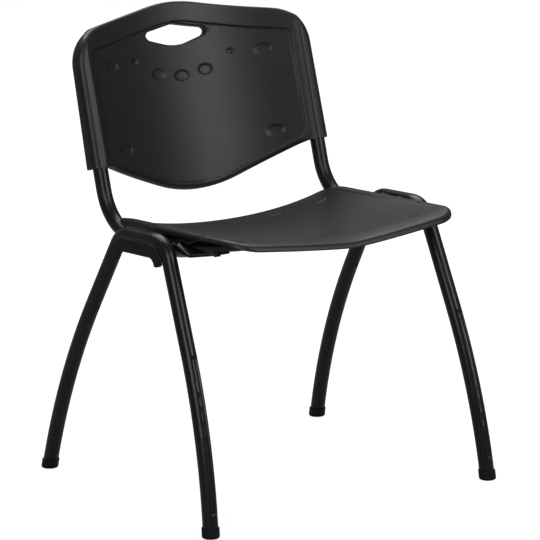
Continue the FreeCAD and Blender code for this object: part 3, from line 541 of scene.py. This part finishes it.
def seat_height(plan):
    """Height of the seat's top face, before its edges are rolled."""
    x, y = np.abs(plan[:, 0]), plan[:, 1]
    share = x / ledge_x
    past = np.clip(seat_front_y + roll_start - y, 0, None) / roll_start
    front_drop = roll_drop * past ** 2
    rise = np.clip(seat_low_y - y, 0, None) / (seat_low_y - seat_front_y - roll_start / 2)
    low = seat_centre_z + seat_centre_rise * rise ** seat_rise_power - front_drop
    edge = seat_side_z - y * seat_side_pitch - front_drop - ledge_tilt
    bowl = bowl_square * share ** 2 + bowl_fourth * share ** 4
    vee = (np.hypot(share, vee_round) - vee_round) / (math.hypot(1, vee_round) - vee_round)
    dish = bowl + (vee - bowl) * smooth(vee_start_y - y, 0, vee_start_y - seat_front_y)
    blend = (dish + 1 - np.hypot(dish - 1, crease)) / 2
    out = (x - ledge_x) / (seat_half_width - ledge_x)
    ledge = ledge_tilt * (out + np.hypot(out, ledge_soft)) / 2
    behind = np.clip(y - seat_rear_y + rear_roll_start, 0, None) / rear_roll_start
    return low + (edge - low) * blend + ledge - rear_drop * behind ** 2 * np.clip(share, 0, 1) ** 4


def slot_edge(plan, slot):
    """Distance out from the edge of a round-ended slot; it is negative inside."""
    x0, y0, turn = slot
    turn = math.radians(turn)
    off = plan - (x0, y0)
    along = off[:, 0] * math.cos(turn) + off[:, 1] * math.sin(turn)
    across = -off[:, 0] * math.sin(turn) + off[:, 1] * math.cos(turn)
    past = np.clip(np.abs(along) - (slot_length - slot_width) / 2, 0, None)
    return np.hypot(past, across) - slot_width / 2


def seat_top(plan):
    """Height of the finished top face, with its rolled edges, grooves and slots."""
    x, y = np.abs(plan[:, 0]), plan[:, 1]
    edge = np.clip(inside_by(plan, seat_loop), 0, None)
    top = seat_height(plan) - rolled(edge, seat_edge_round)
    groove = 1 - smooth(np.abs(x - ledge_x), groove_flat, groove_half)
    top = top - groove_depth * groove * smooth(y, *groove_fade)
    for slot in slots:
        top = top - slot_depth * (1 - smooth(slot_edge(plan, slot), slot_rings[0], slot_rings[-1]))
    return top


def seat_under(plan):
    """Height of the underside, and of the flange's foot at the edge."""
    edge = inside_by(plan, seat_loop)
    forward = (seat_rear_y - plan[:, 1]) / (seat_rear_y - seat_front_y)
    flange = flange_rear + (flange_front - flange_rear) * forward
    inner = smooth(edge, seat_wall, seat_wall + flange_soft)
    return seat_height(plan) - flange + (flange - seat_wall) * inner


def slot_points(slot, grow):
    """Points around a round-ended slot that is grown by each of the given amounts."""
    x0, y0, turn = slot
    rows = []
    half = (slot_length - slot_width) / 2
    run = np.linspace(-half, half, 12)
    bend = np.linspace(-math.pi / 2, math.pi / 2, 9)
    for more in grow:
        radius = slot_width / 2 + more
        rows += [np.stack([run, np.full(len(run), radius)], 1),
                 np.stack([run, np.full(len(run), -radius)], 1),
                 np.stack([half + radius * np.cos(bend), radius * np.sin(bend)], 1),
                 np.stack([-half - radius * np.cos(bend), radius * np.sin(bend)], 1)]
    flat = np.concatenate(rows)
    turn = math.radians(turn)
    spin = np.array([[math.cos(turn), math.sin(turn)], [-math.sin(turn), math.cos(turn)]])
    return flat @ spin + (x0, y0)


def stand_seat(plan, height):
    """From the seat's plan to the chair's frame."""
    return np.stack([plan[:, 0], plan[:, 1] + chair_shift_y, height], axis=1)


seat_loop = seat_plan()
groove_lines = [np.stack([np.full(groove_count, side * (ledge_x + gap)),
                          np.linspace(*groove_range, groove_count)], axis=1)
                for side in (-1, 1) for gap in groove_gaps]
seat_spots = [grid_points(seat_loop, roll_rings[-1] + mould_step / 2),
              ring_points(seat_loop, roll_rings),
              ring_points(seat_loop, (seat_wall, seat_wall + flange_soft))]
slot_spots = np.concatenate([slot_points(slot, slot_rings) for slot in slots])
seat_spots += groove_lines + [slot_spots[inside_by(slot_spots, seat_loop) > slot_clear]]
seat = moulding("seat_moulding", [seat_loop], seat_spots, seat_top, seat_under, stand_seat)
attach(seat, "root")
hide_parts("seat_shell")


# The glides and the stacking bumpers: softer black plastic, matt, with faint scuffs. Each bumper is
# a saddle moulded to the underside of a loop's bar, pinned by one rivet. At each end only its outer
# wall runs on past the bar, as a thin cheek with a round end.
soft_colour = (0.0035, 0.0033, 0.0036)
soft_scuffed = (0.0065, 0.0062, 0.0066)
soft_roughness = (0.50, 0.58)
soft_gloss = 0.30
scuff_size = 0.012
scuff_range = (0.50, 0.75)
soft_grain_size = 0.0009
soft_grain_depth = 0.00004

soft_plastic, tree, shader, place = new_finish("soft_black_plastic")
scuff = ramp(tree, noise(tree, place, scuff_size, detail=6.0), *scuff_range, 0.0, 1.0)
tree.links.new(blend_colour(tree, scuff, soft_colour, soft_scuffed), shader.inputs["Base Color"])
tree.links.new(ramp(tree, scuff, 0.0, 1.0, *soft_roughness), shader.inputs["Roughness"])
shader.inputs["Specular IOR Level"].default_value = soft_gloss
shader.inputs["Specular Tint"].default_value = black_tint
raise_grain(tree, shader, noise(tree, place, soft_grain_size, detail=2.0), soft_grain_depth)
finish_nodes("glide", soft_plastic)

bar_middle = Vector((0.0, -0.0094, 0.4486))
bar_pitch = math.radians(3.0)
loop_splay = math.radians(2.72)
loop_foot_x = 0.28071
bumper_half_width = 0.0155
bumper_depth = 0.028
cheek_wall = 0.006
cheek_gap = 0.0003
trim_reach = 0.12
bumper_sharp = math.radians(35)


def loop_turn(side):
    """Takes a point given square to the bar, about its middle, to its place on one side."""
    pitch = Matrix.Rotation(-bar_pitch, 4, "X")
    splay = Matrix.Rotation(-loop_splay, 4, "Y")
    foot = Matrix.Translation((loop_foot_x, chair_shift_y, 0))
    flip = Matrix.Scale(side, 4, (1, 0, 0))
    return flip @ foot @ splay @ Matrix.Translation(bar_middle) @ pitch


def closed_copy(node):
    """The node's form as one closed mesh."""
    form = bmesh.new()
    form.from_mesh(node.data)
    bmesh.ops.remove_doubles(form, verts=form.verts, dist=1e-6)
    mesh = bpy.data.meshes.new("bumper_form")
    form.to_mesh(mesh)
    form.free()
    return mesh


def trim_block(side):
    """The block below the bar's underside and inboard of the outer cheek."""
    form = bmesh.new()
    bmesh.ops.create_cube(form, size=1.0)
    outer = bumper_half_width - cheek_wall
    inner = -2 * bumper_half_width
    size = (outer - inner, 2 * trim_reach, trim_reach)
    middle = ((outer + inner) / 2, 0, -bumper_depth - cheek_gap - trim_reach / 2)
    place = Matrix.Translation(middle) @ Matrix.Diagonal((*size, 1))
    bmesh.ops.transform(form, matrix=loop_turn(side) @ place, verts=form.verts)
    bmesh.ops.recalc_face_normals(form, faces=form.faces)
    mesh = bpy.data.meshes.new("trim_block")
    form.to_mesh(mesh)
    form.free()
    return bpy.data.objects.new("trim_block", mesh)


def make_bumper(node_name, side):
    """The node's bumper with its ends trimmed to their outer cheeks."""
    piece = bpy.data.objects.new(node_name.replace("stacking_bumper", "bumper_moulding"),
                                 closed_copy(nodes[node_name]))
    block = trim_block(side)
    for item in (piece, block):
        bpy.context.scene.collection.objects.link(item)
    cut = piece.modifiers.new("cheeks", "BOOLEAN")
    cut.operation = "DIFFERENCE"
    cut.solver = "EXACT"
    cut.object = block
    done = piece.evaluated_get(bpy.context.evaluated_depsgraph_get())
    mesh = bpy.data.meshes.new_from_object(done)
    piece.modifiers.clear()
    piece.data = mesh
    bpy.data.objects.remove(block)
    mesh.polygons.foreach_set("use_smooth", [True] * len(mesh.polygons))
    mesh.set_sharp_from_angle(angle=bumper_sharp)
    mesh.materials.clear()
    mesh.materials.append(soft_plastic)
    return piece


for side, hand in ((-1, "left"), (1, "right")):
    bumper = make_bumper(hand + "_stacking_bumper", side)
    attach(bumper, "root")
    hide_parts(hand + "_stacking_bumper")


# The screws and rivets: steel with a black oxide finish, faintly mottled. They sit under the seat,
# behind the sleeves and in the bumpers, so they hardly show.
oxide_colour = (0.020, 0.020, 0.021)
oxide_light = (0.05, 0.05, 0.05)
oxide_roughness = (0.30, 0.45)
oxide_metal = 0.8
mottle_size = 0.003
mottle_range = (0.3, 0.7)

black_oxide, tree, shader, place = new_finish("black_oxide_steel")
mottle = noise(tree, place, mottle_size, detail=4.0)
tree.links.new(blend_colour(tree, mottle, oxide_colour, oxide_light), shader.inputs["Base Color"])
shader.inputs["Metallic"].default_value = oxide_metal
tree.links.new(ramp(tree, mottle, *mottle_range, *oxide_roughness), shader.inputs["Roughness"])
finish_nodes(("screws", "rivets"), black_oxide)


# The studio: a white floor that fades into a white backdrop and keeps a faint shadow, two tall
# softboxes to the front right and front left, and a broad one high up behind the chair.
floor_size = 9.0
floor_shade = 0.30
floor_roughness = 0.9
floor_glow = 0.88
floor_fade = (0.7, 1.8)
room_glow = 0.10
backdrop_sheen = 0.10
lamp_target = Vector((0, 0, 0.5))


def white_to_camera(tree, dim, bright):
    """A strength: bright where looked at or seen through glass, faint in gloss, dim elsewhere."""
    path = tree.nodes.new("ShaderNodeLightPath")
    seen = tree.nodes.new("ShaderNodeMath")
    seen.operation = "MAXIMUM"
    tree.links.new(path.outputs["Is Camera Ray"], seen.inputs[0])
    tree.links.new(path.outputs["Is Transmission Ray"], seen.inputs[1])
    sheen = tree.nodes.new("ShaderNodeMath")
    sheen.operation = "MULTIPLY_ADD"
    tree.links.new(path.outputs["Is Glossy Ray"], sheen.inputs[0])
    sheen.inputs[1].default_value = backdrop_sheen
    tree.links.new(seen.outputs["Value"], sheen.inputs[2])
    return ramp(tree, sheen.outputs["Value"], 0.0, 1.0, dim, bright)


floor_mesh = bpy.data.meshes.new("floor")
half = floor_size / 2
floor_mesh.from_pydata([(-half, -half, 0), (half, -half, 0), (half, half, 0), (-half, half, 0)],
                       [], [(0, 1, 2, 3)])
floor = bpy.data.objects.new("floor", floor_mesh)
bpy.context.scene.collection.objects.link(floor)
paper = bpy.data.materials.new("studio_paper")
paper.use_nodes = True
tree = paper.node_tree
shader = tree.nodes["Principled BSDF"]
shader.inputs["Base Color"].default_value = (floor_shade, floor_shade, floor_shade, 1)
shader.inputs["Roughness"].default_value = floor_roughness
shader.inputs["Specular IOR Level"].default_value = 0.0
shader.inputs["Emission Color"].default_value = (1, 1, 1, 1)
place = tree.nodes.new("ShaderNodeTexCoord")
away = tree.nodes.new("ShaderNodeVectorMath")
away.operation = "LENGTH"
tree.links.new(place.outputs["Object"], away.inputs[0])
fade = ramp(tree, away.outputs["Value"], *floor_fade, floor_glow, 1.0)
glow = tree.nodes.new("ShaderNodeMath")
glow.operation = "MULTIPLY"
tree.links.new(white_to_camera(tree, 0.0, 1.0), glow.inputs[0])
tree.links.new(fade, glow.inputs[1])
tree.links.new(glow.outputs["Value"], shader.inputs["Emission Strength"])
floor.data.materials.append(paper)

world = bpy.data.worlds.new("studio")
bpy.context.scene.world = world
world.use_nodes = True
tree = world.node_tree
backdrop = tree.nodes["Background"]
backdrop.inputs["Color"].default_value = (1, 1, 1, 1)
tree.links.new(white_to_camera(tree, room_glow, 1.0), backdrop.inputs["Strength"])


def softbox(name, bearing, height, distance, size, power):
    """A lamp aimed at the chair; its bearing runs from straight ahead of the chair toward +X."""
    data = bpy.data.lights.new(name, "AREA")
    data.shape = "RECTANGLE"
    data.size, data.size_y = size
    data.energy = power
    lamp = bpy.data.objects.new(name, data)
    bpy.context.scene.collection.objects.link(lamp)
    turn, lift = math.radians(bearing), math.radians(height)
    way = Vector((math.sin(turn) * math.cos(lift), -math.cos(turn) * math.cos(lift),
                  math.sin(lift)))
    lamp.location = lamp_target + way * distance
    lamp.rotation_euler = (-way).to_track_quat("-Z", "Y").to_euler()


softbox("key_softbox", 24, 30, 3.2, (1.2, 2.4), 34)
softbox("left_softbox", -50, 26, 3.2, (1.0, 2.2), 26)
softbox("top_softbox", 165, 62, 2.6, (2.6, 2.0), 56)


# The camera of the product shot stands low to the front left, a long way off, with a long lens. It
# looks at a point below the middle of the seat and is rolled by a third of a degree.
camera_azimuth = math.radians(-34.72)
camera_height = math.radians(13.07)
camera_roll = math.radians(-0.32)
camera_distance = 5.69605
camera_target = Vector((-0.0048, chair_shift_y, 0.35757))
photo_pixels = 540
focal_pixels = 3413.28
sensor_width = 36.0

outward = Vector((math.sin(camera_azimuth) * math.cos(camera_height),
                  -math.cos(camera_azimuth) * math.cos(camera_height), math.sin(camera_height)))
level = (-outward).cross(Vector((0, 0, 1))).normalized()
upright = level.cross(-outward)
right = level * math.cos(camera_roll) + upright * math.sin(camera_roll)
up = upright * math.cos(camera_roll) - level * math.sin(camera_roll)
camera_data = bpy.data.cameras.new("camera")
camera_data.sensor_width = sensor_width
camera_data.lens = focal_pixels / photo_pixels * sensor_width
camera = bpy.data.objects.new("camera", camera_data)
bpy.context.scene.collection.objects.link(camera)
turn = Matrix((right, up, outward)).transposed().to_4x4()
camera.matrix_world = Matrix.Translation(camera_target + outward * camera_distance) @ turn
bpy.context.scene.camera = camera
bpy.context.scene.view_settings.view_transform = "Standard"
